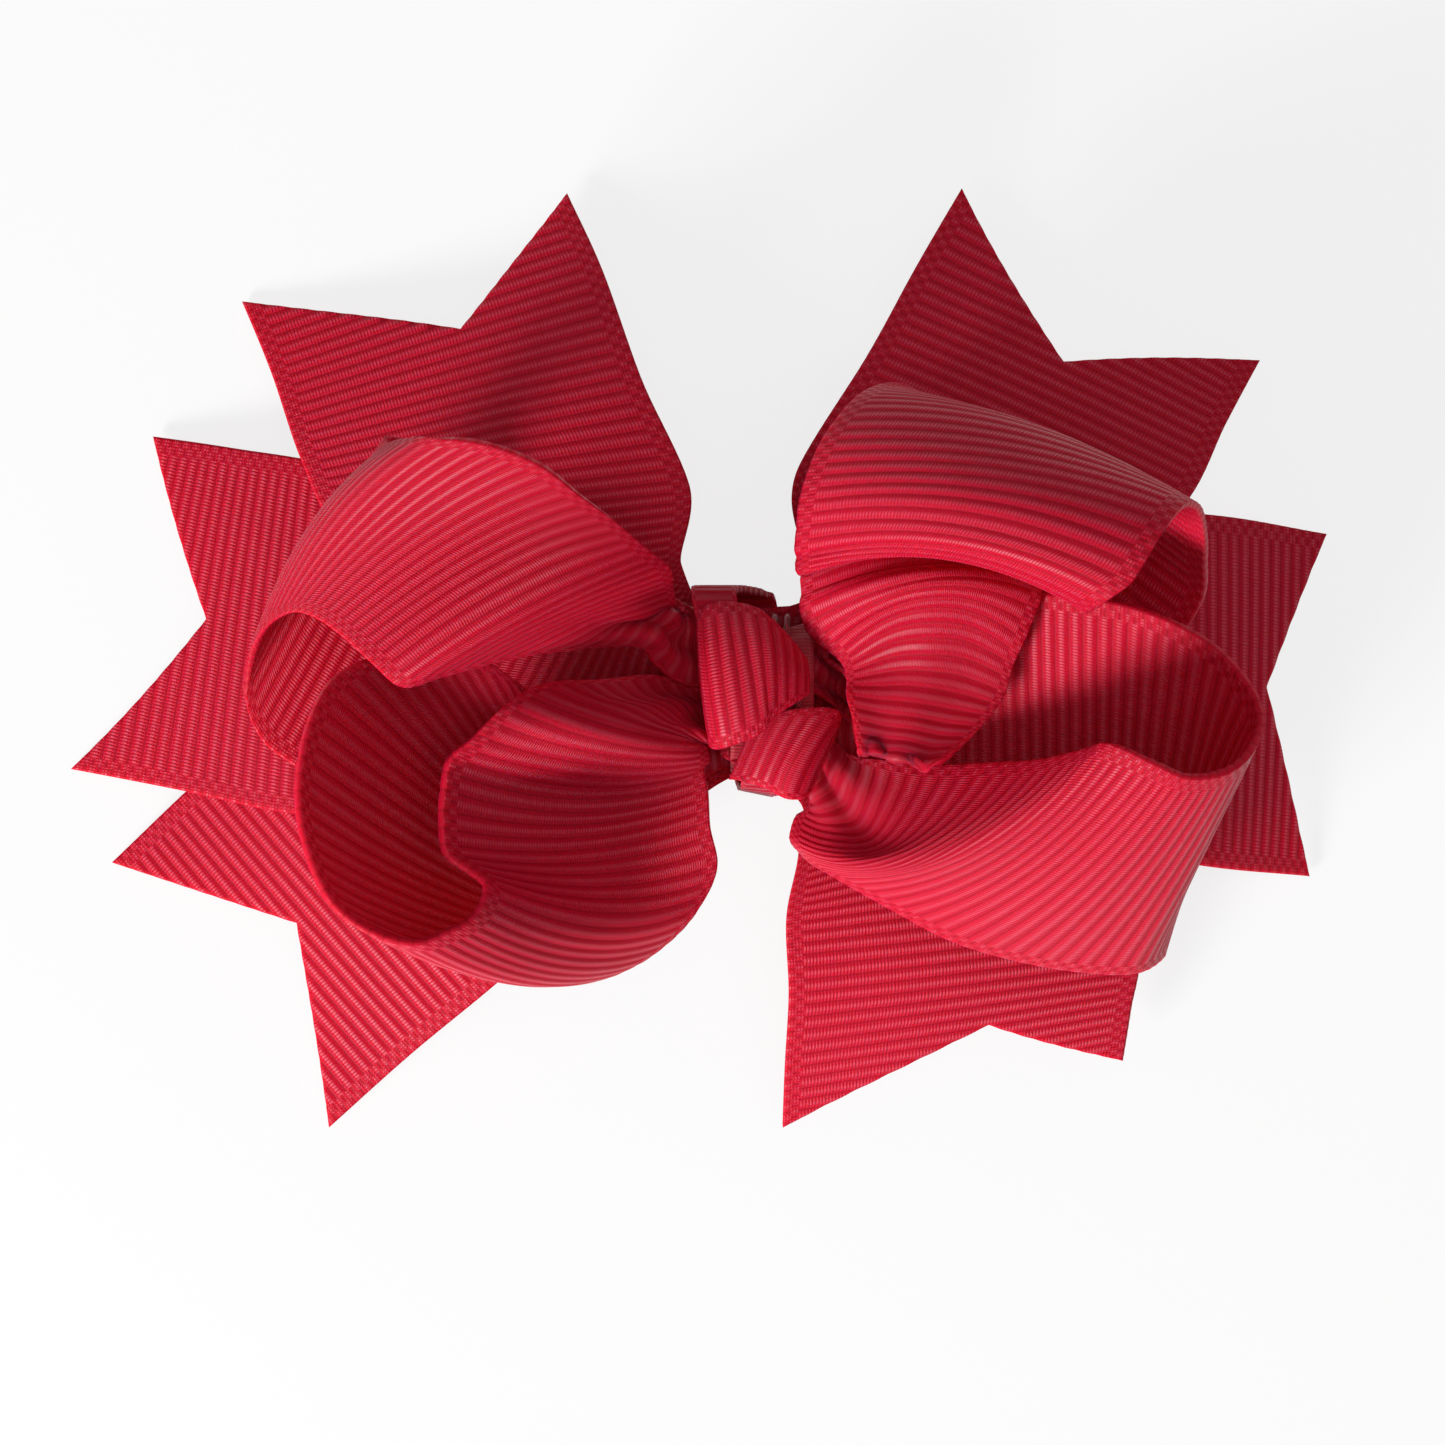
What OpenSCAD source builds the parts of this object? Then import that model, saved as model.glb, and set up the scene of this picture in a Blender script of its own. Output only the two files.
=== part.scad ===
// Ready-made grosgrain bow: four loops over three notched strips, a knotted centre and a sprung clip behind.
// The bow lies on its back on the table, z = 0: +X is the viewer's right, +Y up and +Z towards the viewer.

/* [Ribbon] */
// Width of the ribbon of the loops and the strips
ribbon_w = 25; // [24:0.25:26]
// Thickness of every ribbon
ribbon_t = 0.4; // [0.3:0.05:0.5]
// Width of the narrow ribbon of the knot
knot_w = 10; // [9:0.25:11]

/* [Notches] */
// Depth of the V cut into each end of a strip
notch_d = 7.5; // [5:0.5:9]

/* [Thread] */
// Diameter of the binding thread
thread_d = 0.4; // [0.3:0.05:0.5]
// Turns of the binding thread
thread_turns = 4; // [3:1:5]

/* [Clip] */
// Length of the clip
clip_l = 41; // [38:1:46]
// Width of the clip's upper arm
clip_w = 8; // [7.5:0.25:9]
// Height of the closed clip with its lining and glue
clip_h = 9; // [8.5:0.25:10]
// Thickness of the clip's sheet steel
sheet_t = 0.6; // [0.5:0.05:0.7]
// Diameter of the clip's hinge pin
pin_d = 1.6; // [1.4:0.1:1.8]
// Diameter of the spring's wire
wire_d = 0.5; // [0.4:0.05:0.5]
// Turns of the spring
spring_turns = 3; // [2:1:3]

/* [Hidden] */

// Colours
ribbon_red = [0.76, 0.12, 0.21];
thread_red = [0.55, 0.05, 0.11];
glue_clear = [0.93, 0.9, 0.84];
steel = [0.75, 0.76, 0.78];
spring_steel = [0.6, 0.61, 0.63];

// The ribbons were laid out over a clip of this height; a taller one lifts them
base_h = 6.5;
lift = clip_h - base_h;
// Centre of the knot and of the clip
knot_x = 4.9;
knot_y = -2.9;

// A station of a ribbon is one rib: [x, y, z, heading, tilt, gather], then [bow x, y, z] where it is curved.
// x, y and z place the rib's first end, heading is its angle in plan, tilt its climb,
// gather its span as a share of the ribbon's width, and bow the shift of its middle.
// A strip's z is counted from the drape below.

// Notched strips, lying under the loops, from one cut end to the other
strip_a = [
    [-33.5, 26, -1.7, 18, 0, 1], [-31, 20.5, -0.5, 17, 0, 1], [-28.5, 14, 0, 12, 0, 1],
    [-25.5, 8.5, 0, 7, 0, 1], [-18.5, 1, 0, 17, 0, 0.72], [-6.8, -5.8, 0, 49, 0, 0.45],
    [2.6, -8.2, 0, 85, 0, 0.46], [6.9, -10.2, 0, 57, 0, 0.57], [6.8, -14, 0, 27, 0, 0.76],
    [6, -18.4, 0, 9, 0, 0.94], [6.2, -23.8, 0, 7, 0, 1], [6, -29, -0.6, 9, 0, 1], [5.9, -33.8, -1.9, 11, 0, 1]
];
strip_b = [
    [-46, -8.1, -0.9, 76, 0, 1], [-37.5, -9.6, -0.2, 81, 0, 1], [-28.6, -11.2, 0, 85, 0, 1],
    [-17.6, -11.2, 0, 87, 0, 0.88], [-5.6, -9.5, 0, 88, 0, 0.56], [3.6, -8.4, 0, 89, 0, 0.45],
    [14, -10, 0, 90, 0, 0.66], [24.6, -12.8, 0, 90, 0, 0.92], [35.8, -14.9, -0.4, 89, 0, 1],
    [44.3, -15.9, -2.4, 87, 0, 1]
];
strip_c = [
    [-27.1, -34.2, -0.4, 129.5, 0, 1], [-20.8, -28.5, 0, 131, 0, 1], [-14.6, -23.3, 0, 131, 0, 1],
    [-7.7, -17.2, 0, 130, 0, 0.86], [-1.8, -11.4, 0, 117, 0, 0.62], [3.4, -8, 0, 92, 0, 0.45],
    [13.3, -5.9, 0, 118, 0, 0.46], [21.8, 0.4, 0, 150, 0, 0.7], [28.5, 5.3, 0, 160, 0, 0.92],
    [34.6, 11, 0, 156, 0, 1], [37.8, 16.8, 0, 154, 0, 1], [40.6, 21.6, -0.4, 150, 0, 1]
];

// Loops, from the waist at the front, round, and back to the waist behind
upper_left = [
    [2.4, -2, 14.1, 92, -8, 0.16, 0, 0, 0], [-0.6, -2.2, 14.8, 93, -8, 0.2, 0, 0, 0],
    [-2.6, -1, 16, 69, -27, 0.18, 0, 0, 0.3], [-4, 0.3, 17.2, 44, -41, 0.19, 0, 0.3, 0.6],
    [-9.1, 0, 18.6, 23, -26, 0.36, 0, 0.3, 1.6], [-12.9, -0.6, 20.6, 24, -21, 0.52, 0, 0.3, 2.3],
    [-16.5, -1.6, 22.4, 26, -15, 0.67, 0, 0.3, 2.8], [-18.9, -2.3, 23.4, 29, -9, 0.73, 0, 0.5, 2.8],
    [-20.7, -1, 23, 28, 0, 0.73, 0.4, 1.2, 2.2], [-22.9, 0.8, 21, 29, 14, 0.74, 0.3, 1.2, 1.4],
    [-24.9, 2.1, 19, 32, 25, 0.78, 0, 1.1, 0.7], [-26.7, 2.6, 17, 37, 33, 0.8, -0.3, 1, 0.4],
    [-28.2, 2.2, 15.3, 43, 36, 0.79, -0.6, 1.2, 0.3], [-29.4, 1.3, 13.9, 48, 31, 0.75, -0.7, 1.4, 0.2],
    [-30.3, 0, 12.6, 53, 20, 0.72, -0.7, 1.3, 0.2], [-30.9, -1.5, 11.5, 57, 9, 0.75, -0.4, 0.9, 0],
    [-31.1, -3.2, 10.7, 61, 4, 0.82, 0, 0.4, 0], [-30.5, -5.2, 10.2, 62, 2, 0.9, 0, 0, 0],
    [-29, -6.9, 9.9, 62, -1, 0.94, 0, 0, 0], [-25.5, -8.6, 9.8, 61, -4, 0.92, 0, 0, 0],
    [-19, -9, 9.4, 61, 0, 0.82, 0, 0, 0], [-11, -7.2, 9.6, 64, 0, 0.58, 0, 0, 0],
    [-4.5, -4.6, 10.2, 74, 4, 0.36, 0, 0, 0], [2.4, -2.5, 11.1, 90, 5, 0.17, 0, 0, 0]
];
lower_left = [
    [2.4, -3, 13.2, -88, -5, 0.18, 0, 0, 0], [-2.5, -1.8, 14, -46, -9, 0.23, 0, 0, 0.2],
    [-6.5, -2.2, 17.2, -26, -19, 0.35, 0, 0, 1.5], [-10, -2.4, 20.4, -19, -30, 0.5, 0.2, -0.2, 2.2],
    [-12.4, -3.6, 22.3, -13, -32, 0.62, 0.3, -0.8, 2], [-14.5, -5.7, 22.8, -6, -30, 0.7, 0.4, -1.1, -0.2],
    [-16, -7.1, 22.8, -3, -28, 0.74, 0.2, -1.6, -2.4], [-16.4, -9, 22.8, 0, -27, 0.76, 0, -1.7, -2.9],
    [-16.5, -10.9, 22.9, 3, -27, 0.77, 0, -1.5, -2.8], [-16.2, -13, 23.1, 4, -28, 0.77, 0, -1.3, -2.6],
    [-14.7, -14.1, 23.5, 0, -32, 0.75, 0, -1.5, -2.2],
    [-13.6, -14.9, 24.2, -5, -38, 0.72, 0.2, -1.7, -1.8],
    [-13.6, -15.9, 24.9, -8, -42, 0.71, 0.2, -1.9, -1.8],
    [-14.4, -17.1, 25.5, -11, -47, 0.73, 0.2, -1.7, -1.6],
    [-15.7, -17.8, 26, -16, -51, 0.75, 0.2, -1.6, -1], [-17.8, -18.5, 26.4, -19, -55, 0.79, 0.2, -1.3, 0],
    [-20.6, -17.8, 26.4, -21, -56, 0.83, 0.2, -1.1, 0.6],
    [-23.2, -15.8, 26.2, -25, -55, 0.85, -0.2, -0.8, 0.4],
    [-24.8, -12.2, 25.8, -31, -52, 0.84, -0.4, -0.5, 0],
    [-25.3, -8.6, 25.2, -37, -50, 0.84, -0.3, -0.3, 0], [-24.7, -4.5, 24, -42, -46, 0.83, 0, 0, 0],
    [-23, -1.5, 22, -49, -41, 0.78, 0, 0, 0], [-18.8, 0, 19.8, -58, -37, 0.72, 0, 0, 0],
    [-14, -0.7, 18.4, -63, -34, 0.66, 0, 0, 0], [-10.5, -3, 15.4, -62, -25, 0.48, 0, 0, 0],
    [-4.5, -4, 12, -76, -4, 0.26, 0, 0, 0], [2.4, -3.4, 11, -90, 5, 0.16, 0, 0, 0]
];
upper_right = [
    [7.4, -2.6, 13.2, 90, -4, 0.16, 0, 0, 0], [9.8, -4.1, 12.6, 104, 0, 0.16, 0, 0, 0],
    [12.7, -5.9, 16.2, 120, -14, 0.2, 0, 0, 0], [15.3, -7.6, 19, 166, -18, 0.21, 0, 0, 0],
    [17.4, -6.2, 18.4, 170, -9, 0.29, 0, 0, 0.2], [19, -4.5, 17.8, 172, -7, 0.37, -0.2, 0.2, 0.6],
    [20.1, -2.8, 17.6, 176, -10, 0.41, -0.1, 1.1, 1.2], [20.6, -0.9, 18, 181, -14, 0.44, -0.2, 1.9, 2.2],
    [21.2, 0.6, 18.9, 184, -18, 0.5, -0.2, 2.6, 3.4], [21.8, 2.3, 19.6, 187, -18, 0.58, -0.2, 2.4, 4],
    [22.2, 3.4, 19.9, 187, -17, 0.63, 0, 1.9, 3.8], [22.3, 4.2, 19.8, 185, -14, 0.64, 0, 1.5, 3.2],
    [22.9, 4.7, 18.9, 183, -10, 0.65, 0.2, 1.3, 2.4], [23.6, 4.8, 18.9, 180, -9, 0.68, 0, 2, 1.6],
    [24.3, 4, 21.2, 176, -16, 0.71, 0, 2.2, 2.2], [24.5, 2.5, 25, 171, -25, 0.8, 0, 2, 2.9],
    [24.9, 2.6, 28.4, 169, -32, 0.88, 0, 1.9, 3.2], [25.6, 3.1, 29.6, 169, -32, 0.92, 0, 1.8, 3.2],
    [26.7, 3.9, 30, 168, -30, 0.95, 0, 1.6, 3], [27.7, 5.4, 30, 169, -28, 0.97, 0, 1.5, 2.8],
    [29, 7.4, 29.2, 170, -25, 0.98, 0, 1.2, 2.4], [30.5, 8.9, 27.2, 168, -21, 0.98, 0, 1.2, 1.9],
    [31.9, 8.9, 24, 162, -17, 0.97, 0, 1.8, 1.5], [32.9, 7.8, 20.4, 156, -13, 0.97, 0, 1.9, 1],
    [33.6, 6, 16.8, 149, -13, 0.98, 0, 1.2, 0.4], [33.8, 3.2, 13.4, 142, -13, 1, 0, 0, 0],
    [31, -0.5, 10.6, 138, -9, 1, 0, 0, 0], [24, -2.8, 9.6, 132, 0, 0.9, 0, 0, 0],
    [14.5, -3.2, 10, 112, 3, 0.5, 0, 0, 0], [7.4, -2.4, 11.1, 90, 5, 0.16, 0, 0, 0]
];
lower_right = [
    [7.4, -3.4, 13, -90, -4, 0.17, 0, 0, 0], [9.8, -6.6, 13.4, -125, -10, 0.17, 0.2, -0.6, 0.4],
    [12.4, -7.2, 14.4, -147, -17, 0.29, 1.2, -2.6, 1.6], [16, -7.5, 16.8, -154, -22, 0.47, 0.8, -3.2, 3],
    [19.8, -7.4, 20.4, -156, -30, 0.66, 0, -3, 3.8], [22.3, -7.1, 24, -154, -36, 0.8, 0, -2.6, 3.6],
    [24.5, -6.4, 27.4, -151, -40, 0.92, 0, -2.3, 2.9], [25.4, -6, 29.3, -145, -43, 0.96, 0.4, -2, 2.1],
    [26.6, -6.4, 30, -140, -45, 0.97, 0.5, -1.5, 1.5], [28.4, -7.3, 30.5, -135, -47, 0.98, 0.5, -0.9, 1],
    [30.2, -8, 30.5, -126, -50, 0.97, 0.4, -0.6, 0.7], [32.5, -7.7, 29.8, -115, -50, 0.95, 0.3, -0.3, 0.5],
    [34.3, -6.5, 28.3, -107, -47, 0.93, 0, -0.2, 0.4], [35.5, -4.5, 26, -103, -45, 0.96, -0.4, 0, 0],
    [35.1, -2.3, 24, -99, -42, 0.98, -0.4, 0, 0], [33, 0.3, 22.5, -93, -39, 1, 0, 0, 0],
    [29.5, 2.3, 21.5, -89, -36, 1, 0, 0, 0], [25.4, 3.4, 20.5, -86, -30, 0.95, 0, 0, 0],
    [20.4, 3.6, 18.6, -86, -26, 0.83, 0, 0, 0], [14, 1.5, 14.6, -90, -18, 0.55, 0, 0, 0],
    [7.4, -3.5, 11, -90, 5, 0.16, 0, 0, 0]
];

// Knot: the lobe across the front, the lobe below it, and the band round the back
knot_front = [
    [1.7, -5.6, 15, 92, -3, 0.85, 0, 0, 0.2], [0.9, -6.2, 15.3, 95, -7, 0.95, -0.2, 0, 1],
    [1.4, -6.4, 16.6, 97, -10, 0.95, -0.2, 0, 1.4], [2.6, -6, 17.3, 98, -12, 0.95, 0, 0, 1.6],
    [4.1, -5.3, 17.4, 100, -13, 0.88, 0.1, 0.2, 1.5], [4.7, -4.4, 17.3, 95, -11, 0.72, 0.2, 0.2, 1.2],
    [6, -3.5, 16.8, 95, -8, 0.48, 0.2, 0.2, 0.7], [7.2, -2.7, 16, 95, -2, 0.22, 0.1, 0, 0.3]
];
knot_lower = [
    [2.1, -8.5, 13.9, 67, 16, 0.42, 0, 0, 0.2], [3.1, -8.6, 14.7, 64, 13, 0.52, -0.1, 0.1, 0.4],
    [4.6, -9, 15.3, 61, 6, 0.6, -0.4, -0.2, 0.7], [5.7, -9.6, 15.8, 60, 0, 0.66, -0.6, -0.2, 1],
    [6.7, -9.7, 15.3, 64, -1, 0.6, -0.2, -0.1, 0.8], [7.3, -9.3, 14.5, 66, 0, 0.46, 0, 0, 0.4]
];
knot_band = [
    [-0.2, 2.2, 15.2, 0, 0, 0.3, 0, 0, 0], [-0.5, 3.6, 14.6, 0, 0, 0.3, 0, 0, 0],
    [-0.5, 4.3, 13, 0, 0, 0.31, 0, 0, 0], [0.2, 4.4, 10.4, 0, 0, 0.33, 0, 0, 0],
    [1, 4.2, 8, 0, 0, 0.36, 0, 0, 0], [1.2, 3.3, 6.85, 0, 0, 0.42, 0, 0, 0],
    [1.4, -3, 6.8, 0, 0, 0.42, 0, 0, 0], [2.2, -7.7, 6.75, -8, 0, 0.3, 0, 0, 0],
    [2.6, -9, 7.6, -12, 0, 0.25, 0, 0, 0], [2.7, -9.1, 10, -10, 0, 0.25, 0, 0, 0],
    [2.8, -9, 12.6, -6, 0, 0.28, 0, 0, 0], [2.8, -8.4, 14.9, 0, 0, 0.34, 0, 0, 0]
];

// Drape of the strips: a bell over the clip that falls to the table all round
drape_low = -2.2;
drape_rise = 9.65;
drape_reach = 30;
drape_left = -2;
drape_right = 12;
layer_step = 0.65;
function drape(x, y) =
    let (near = max(drape_left, min(drape_right, x)), d = norm([x - near, y - knot_y]))
    drape_low + drape_rise * exp(-pow(d / drape_reach, 3));

// Facets along and across the ribbons
loop_steps = 60;
strip_steps = 30;
knot_steps = 20;
across = 8;

// Curve through a list of stations at a place counted in stations
function curve(a, b, c, d, f) =
    0.5 * (2 * b + (c - a) * f + (2 * a - 5 * b + 4 * c - d) * f * f + (3 * b - a - 3 * c + d) * f * f * f);
function station(list, place) =
    let (last = len(list) - 1, i = max(0, min(floor(place), last - 1)))
    curve(
        i > 0 ? list[i - 1] : 2 * list[0] - list[1],
        list[i],
        list[i + 1],
        i + 2 <= last ? list[i + 2] : 2 * list[last] - list[last - 1],
        place - i
    );

// Point on a ribbon: share is 0 on its first edge and 1 on its second
function rib_way(s) = [cos(s[3]) * cos(s[4]), sin(s[3]) * cos(s[4]), sin(s[4])];
function ribbon_point(list, place, share, width, layer) =
    let (s = station(list, place))
    let (bow = len(s) > 6 ? [s[6], s[7], s[8]] * 4 * share * (1 - share) : [0, 0, 0])
    let (p = [s[0], s[1], s[2] + lift] + rib_way(s) * width * s[5] * share + bow)
    is_undef(layer) ? p : p + [0, 0, drape(p[0], p[1]) + layer * layer_step];

// Stations cut away by the notch at one end, deepest on the ribbon's middle
function notch_stations(list, first, share) =
    let (last = len(list) - 1, i = first ? 0 : last, k = first ? 1 : last - 1)
    let (pitch = norm([for (axis = [0:2]) list[k][axis] - list[i][axis]]))
    notch_d / pitch * (1 - abs(2 * share - 1));

// Middle surface of a ribbon as rows of points
function ribbon_rows(list, steps, width, layer) =
    [for (i = [0:steps]) [for (j = [0:across])
        let (share = j / across)
        let (start = is_undef(layer) ? 0 : notch_stations(list, true, share))
        let (end = len(list) - 1 - (is_undef(layer) ? 0 : notch_stations(list, false, share)))
        ribbon_point(list, start + (end - start) * i / steps, share, width, layer)
    ]];

// Unit normal of those rows at one point
function row_normal(rows, i, j) =
    let (n = len(rows) - 1, along = rows[min(i + 1, n)][j] - rows[max(i - 1, 0)][j])
    let (over = rows[i][min(j + 1, across)] - rows[i][max(j - 1, 0)], square = cross(along, over))
    square / norm(square);

// Closed ribbon of even thickness about its middle surface; one with a layer is a notched strip of that layer
module ribbon(list, steps, width, layer = undef) {
    rows = ribbon_rows(list, steps, width, layer);
    n = len(rows) - 1;
    line = across + 1;
    sheet_points = (n + 1) * line;
    points = [for (side = [0.5, -0.5]) for (i = [0:n]) for (j = [0:across])
        rows[i][j] + row_normal(rows, i, j) * ribbon_t * side];
    function corner(i, j, under) = i * line + j + under * sheet_points;
    function quad(a, b, c, d) = [[a, b, c], [a, c, d]];
    faces = [
        for (i = [0:n - 1]) for (j = [0:across - 1]) each concat(
            quad(corner(i, j, 0), corner(i, j + 1, 0), corner(i + 1, j + 1, 0), corner(i + 1, j, 0)),
            quad(corner(i, j, 1), corner(i + 1, j, 1), corner(i + 1, j + 1, 1), corner(i, j + 1, 1))
        ),
        for (i = [0:n - 1]) each concat(
            quad(corner(i, 0, 0), corner(i + 1, 0, 0), corner(i + 1, 0, 1), corner(i, 0, 1)),
            quad(
                corner(i, across, 0), corner(i, across, 1),
                corner(i + 1, across, 1), corner(i + 1, across, 0)
            )
        ),
        for (j = [0:across - 1]) each concat(
            quad(corner(0, j, 0), corner(0, j, 1), corner(0, j + 1, 1), corner(0, j + 1, 0)),
            quad(corner(n, j, 0), corner(n, j + 1, 0), corner(n, j + 1, 1), corner(n, j, 1))
        )
    ];
    polyhedron(points, faces);
}

// Round wire of six sides along a list of points
tube_sides = 6;
function along(path, i) =
    let (way = path[min(i + 1, len(path) - 1)] - path[max(i - 1, 0)])
    way / norm(way);
module tube(path, d, up) {
    n = len(path) - 1;
    points = [for (i = [0:n])
        let (t = along(path, i), side = cross(t, up), u = side / norm(side), v = cross(u, t))
        for (k = [0:tube_sides - 1]) path[i] + d / 2 * (u * cos(k * 60) + v * sin(k * 60))];
    function corner(i, k) = i * tube_sides + k % tube_sides;
    faces = [
        for (i = [0:n - 1]) for (k = [0:tube_sides - 1]) each
            [[corner(i, k), corner(i, k + 1), corner(i + 1, k + 1)],
             [corner(i, k), corner(i + 1, k + 1), corner(i + 1, k)]],
        for (k = [1:tube_sides - 2]) each
            [[corner(0, 0), corner(0, k + 1), corner(0, k)], [corner(n, 0), corner(n, k), corner(n, k + 1)]]
    ];
    polyhedron(points, faces);
}

// Least gap between the turns of a wound path, found from points a turn or more apart
function least_gap(path, turn, d) =
    min([for (i = [0:len(path) - 1]) for (k = [i + turn / 2:len(path) - 1]) norm(path[i] - path[k])]) - d;

// Waist: the gathered middle of the loop ribbon
waist_l = 5.6;
waist_y = 5.2;
waist_z = 2.1;
waist_mid_z = 12.4 + lift;
pleats = 11;
pleat_share = 0.05;

module gathered_waist() {
    outline = [for (a = [0:5:355])
        let (r = 1 - pleat_share * (1 + cos(pleats * a)) / 2) [r * waist_z * cos(a), r * waist_y * sin(a)]];
    color(ribbon_red)
        translate([knot_x - waist_l / 2, knot_y, waist_mid_z])
            rotate([0, 90, 0])
                linear_extrude(waist_l)
                    polygon(outline);
}

// Thread: one winding round the waist
thread_clear = 0.08;
thread_pitch = thread_d + 0.45;
thread_rings = 24;
thread_path = [for (i = [0:thread_turns * thread_rings])
    let (turn = i / thread_rings, a = 360 * turn, out = thread_d / 2 + thread_clear)
    [
        knot_x + (turn - thread_turns / 2) * thread_pitch,
        knot_y + (waist_y + out) * sin(a),
        waist_mid_z + (waist_z + out) * cos(a)
    ]];
echo(thread_gap = least_gap(thread_path, thread_rings, thread_d));

module binding_thread() {
    color(thread_red)
        tube(thread_path, thread_d, [1, 0, 0]);
}

module centre_knot() {
    color(ribbon_red) {
        ribbon(knot_front, knot_steps, knot_w);
        ribbon(knot_lower, knot_steps, knot_w);
        ribbon(knot_band, knot_steps, knot_w);
    }
}

// Heights of the layers between the ribbons and the clip
pad_t = 0.45;
pad_l = 16;
pad_w = 7;
lining_z = clip_h - pad_t - ribbon_t;
upper_z = lining_z - sheet_t;

// Clip along X: nose at its left, thumb end at its right
nose_x = knot_x - clip_l / 2;
thumb_x = knot_x + clip_l / 2;
pivot_x = thumb_x - 15;
pivot_z = upper_z - 2.35;
hinge_play = 0.1;
nose_r = 2.5;
lug_r = 1.9;
lug_t = 0.5;
lower_w = clip_w - 2 * lug_t - 0.6;
jaw_gap = 0.15;
round_steps = 48;

module glue_pad() {
    color(glue_clear)
        translate([knot_x, knot_y, clip_h - pad_t])
            linear_extrude(pad_t) {
                square([pad_l - pad_w, pad_w], center = true);
                for (side = [-1, 1])
                    translate([side * (pad_l - pad_w) / 2, 0])
                        circle(d = pad_w, $fn = round_steps);
            }
}

// Outline of an arm seen from above, with its nose rounded
module arm_plan(from_x, to_x, width) {
    translate([from_x + nose_r, knot_y - width / 2])
        square([to_x - from_x - nose_r, width]);
    translate([from_x, knot_y - width / 2 + nose_r])
        square([nose_r + 1, width - 2 * nose_r]);
    for (side = [-1, 1])
        translate([from_x + nose_r, knot_y + side * (width / 2 - nose_r)])
            circle(r = nose_r, $fn = round_steps);
}

// Lining: over the upper arm, round its nose and back inside the jaw
lining_in = 14;
module clip_lining() {
    half = sheet_t / 2 + ribbon_t;
    color(ribbon_red)
        translate([0, knot_y + lower_w / 2, 0])
            rotate([90, 0, 0])
                linear_extrude(lower_w)
                    difference() {
                        union() {
                            translate([nose_x, upper_z + sheet_t])
                                square([clip_l, ribbon_t]);
                            translate([nose_x, upper_z - ribbon_t])
                                square([lining_in, ribbon_t]);
                            translate([nose_x, upper_z + sheet_t / 2])
                                circle(r = half, $fn = round_steps);
                        }
                        translate([nose_x, upper_z])
                            square([clip_l, sheet_t]);
                        translate([nose_x, upper_z + sheet_t / 2])
                            circle(d = sheet_t, $fn = round_steps);
                    }
}

// Pair of hinge lugs with a bore across both
module lugs(outer_y, top_z, bottom_z, bore_d) {
    for (side = [-1, 1])
        translate([pivot_x, knot_y + side * (outer_y - lug_t / 2) + lug_t / 2, pivot_z])
            rotate([90, 0, 0])
                linear_extrude(lug_t)
                    difference() {
                        union() {
                            circle(r = lug_r, $fn = round_steps);
                            translate([-lug_r, min(0, bottom_z - pivot_z)])
                                square([2 * lug_r, max(top_z, pivot_z) - min(bottom_z, pivot_z)]);
                        }
                        circle(d = bore_d, $fn = round_steps);
                    }
}

module clip_upper_arm() {
    color(steel) {
        translate([0, 0, upper_z])
            linear_extrude(sheet_t)
                arm_plan(nose_x, thumb_x, clip_w);
        lugs(clip_w / 2, upper_z + sheet_t / 2, pivot_z, pin_d);
    }
}

// Lower arm: bent under the pivot, toothed at the nose, its thumb end on the table
bend_z = pivot_z - lug_r - sheet_t;
tooth_h = 0.8;
tooth_l = 1.2;
teeth = 3;
tooth_top = upper_z - ribbon_t - jaw_gap;
module clip_lower_arm() {
    nose_top = tooth_top - tooth_h;
    teeth_line = [for (i = [0:teeth - 1]) each
        [[nose_x + i * tooth_l, tooth_top], [nose_x + (i + 0.8) * tooth_l, nose_top]]];
    profile = concat(
        [[thumb_x, 0], [thumb_x, sheet_t], [pivot_x + 2, bend_z + sheet_t], [pivot_x - 2, bend_z + sheet_t]],
        [[nose_x + teeth * tooth_l, nose_top]],
        [for (i = [len(teeth_line) - 1:-1:0]) teeth_line[i]],
        [[nose_x, nose_top - sheet_t], [pivot_x - 2, bend_z], [pivot_x + 2, bend_z]]
    );
    color(steel) {
        translate([0, knot_y + lower_w / 2, 0])
            rotate([90, 0, 0])
                linear_extrude(lower_w)
                    polygon(profile);
        lugs(lower_w / 2, pivot_z, bend_z + sheet_t / 2, pin_d + hinge_play);
    }
}

// Rivet pin with a low head at each end
head_d = pin_d + 1;
head_t = 0.4;
module clip_pin() {
    color(steel)
        translate([pivot_x, knot_y, pivot_z])
            rotate([90, 0, 0]) {
                cylinder(d = pin_d, h = clip_w, center = true, $fn = round_steps);
                for (side = [-1, 1])
                    translate([0, 0, side * (clip_w + head_t) / 2])
                        cylinder(d = head_d, h = head_t, center = true, $fn = round_steps);
            }
}

// Spring: a coil round the pin, one leg under the upper arm and one on the lower arm
coil_r = 1.4;
coil_pitch = wire_d + 0.45;
coil_rings = 8;
leg_l = 7;
leg_steps = 3;
coil_a = 90;
coil_turns = spring_turns + 0.5;
coil_y0 = knot_y - coil_turns * coil_pitch / 2;
coil_path = [for (i = [0:coil_turns * coil_rings])
    let (a = coil_a + 360 * i / coil_rings)
    [pivot_x + coil_r * cos(a), coil_y0 + i / coil_rings * coil_pitch, pivot_z + coil_r * sin(a)]];
coil_end = coil_path[len(coil_path) - 1];
leg_run = 2;
leg_rise = (upper_z - wire_d / 2 - 0.1 - pivot_z - coil_r) / leg_l;
leg_drop = bend_z / (thumb_x - pivot_x - 2);
upper_leg = [for (i = [leg_steps:-1:1]) coil_path[0] + leg_l * i / leg_steps * [1, 0, leg_rise]];
lower_leg = [for (i = [0:leg_steps]) coil_end + [leg_run, 0, 0] + leg_l * i / leg_steps * [1, 0, -leg_drop]];
spring_path = concat(upper_leg, coil_path, lower_leg);
echo(spring_gap = least_gap(coil_path, coil_rings, wire_d));

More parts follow.
